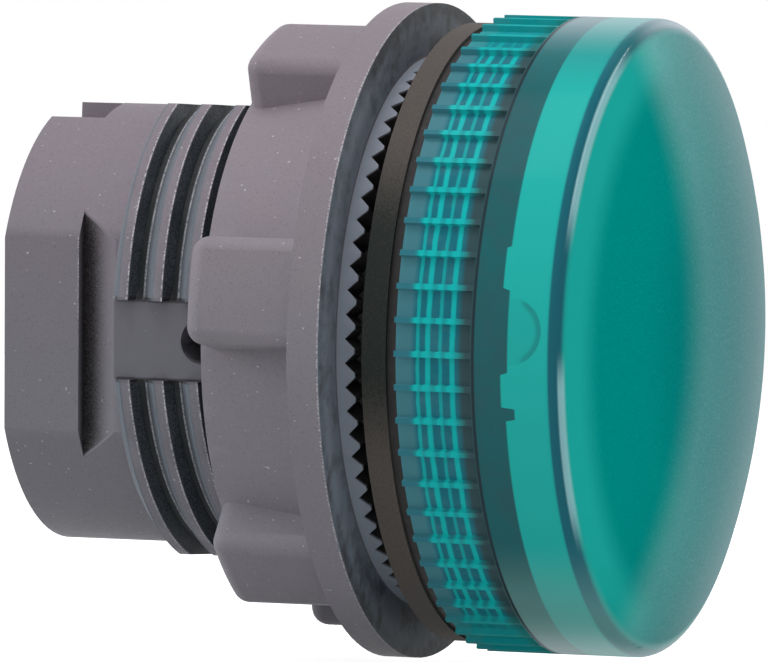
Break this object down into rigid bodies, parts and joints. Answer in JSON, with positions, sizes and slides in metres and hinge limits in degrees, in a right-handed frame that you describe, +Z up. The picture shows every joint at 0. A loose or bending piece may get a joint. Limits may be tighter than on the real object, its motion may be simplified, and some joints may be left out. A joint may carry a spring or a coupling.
{
  "type": "panel pilot light",
  "caption": "Round panel pilot light head: domed teal lens with ribbed grip, threaded neck, gasket, lobed fixing nut and a bayonet lamp in its holder.",
  "frame": {"origin": "on the axis of the light, in the plane where the gasket meets the front of the panel", "axes": "+X along the axis towards the lens, +Z up, +Y to the left seen from behind"},
  "size_m": [0.0316, 0.0298, 0.0298],
  "materials": {
    "grey_moulding": "fine matt moulding",
    "grey_nut": "fine matt moulding",
    "dark_rubber": "matt",
    "teal_lens": "tinted, see-through, satin dome",
    "seal_rubber": "matt",
    "dark_sleeve": "matt",
    "bulb_glass": "clear",
    "tungsten": "drawn wire",
    "nickel_brass": "nickel plated brass",
    "black_insulator": "black glass",
    "solder": "solder",
    "cream_insulator": "thermoset",
    "plain_brass": "pressed",
    "spring_steel": "drawn wire"
  },
  "bodies": {
    "housing": {"housing": "grey_moulding", "panel_gasket": "dark_rubber", "light_sleeve": "dark_sleeve", "socket_shell": "nickel_brass", "holder_base": "cream_insulator", "plunger_spring": "spring_steel", "centre_terminal": "plain_brass", "shell_terminal": "plain_brass", "shell_rivet": "plain_brass", "centre_rivet": "plain_brass"},
    "nut": {"fixing_nut": "grey_nut"},
    "lens_seal": {"lens_seal": "seal_rubber"},
    "lens": {"lens_cap": "teal_lens"},
    "plunger": {"contact_plunger": "plain_brass"},
    "lamp": {"lamp_glass": "bulb_glass", "lamp_filament": "tungsten", "lamp_supports": "tungsten", "lamp_cap": "nickel_brass", "lamp_insulator": "black_insulator", "lamp_contact": "solder"}
  },
  "joints": [
    {"name": "nut_turn", "type": "hinge", "parent": "housing", "child": "nut", "pos_m": [0, 0, 0], "axis": [1, 0, 0], "range_deg": [-2520, 190]},
    {"name": "lens_travel", "type": "slide", "parent": "housing", "child": "lens_seal", "axis": [1, 0, 0], "range_m": [0, 0.00277]},
    {"name": "lens_turn", "type": "hinge", "parent": "lens_seal", "child": "lens", "pos_m": [0, 0, 0], "axis": [1, 0, 0], "range_deg": [0, 864]},
    {"name": "lamp_push", "type": "slide", "parent": "housing", "child": "plunger", "axis": [-1, 0, 0], "range_m": [0, 0.0008], "stiffness_N_per_m": 400, "deforming": ["plunger_spring"]},
    {"name": "lamp_turn", "type": "hinge", "parent": "plunger", "child": "lamp", "pos_m": [0, 0, 0], "axis": [1, 0, 0], "range_deg": [-45, 0]}
  ],
  "couplings": [
    {"joint": "lens_travel", "follows": "lens_turn", "m_per_rad": 0.00018303}
  ]
}
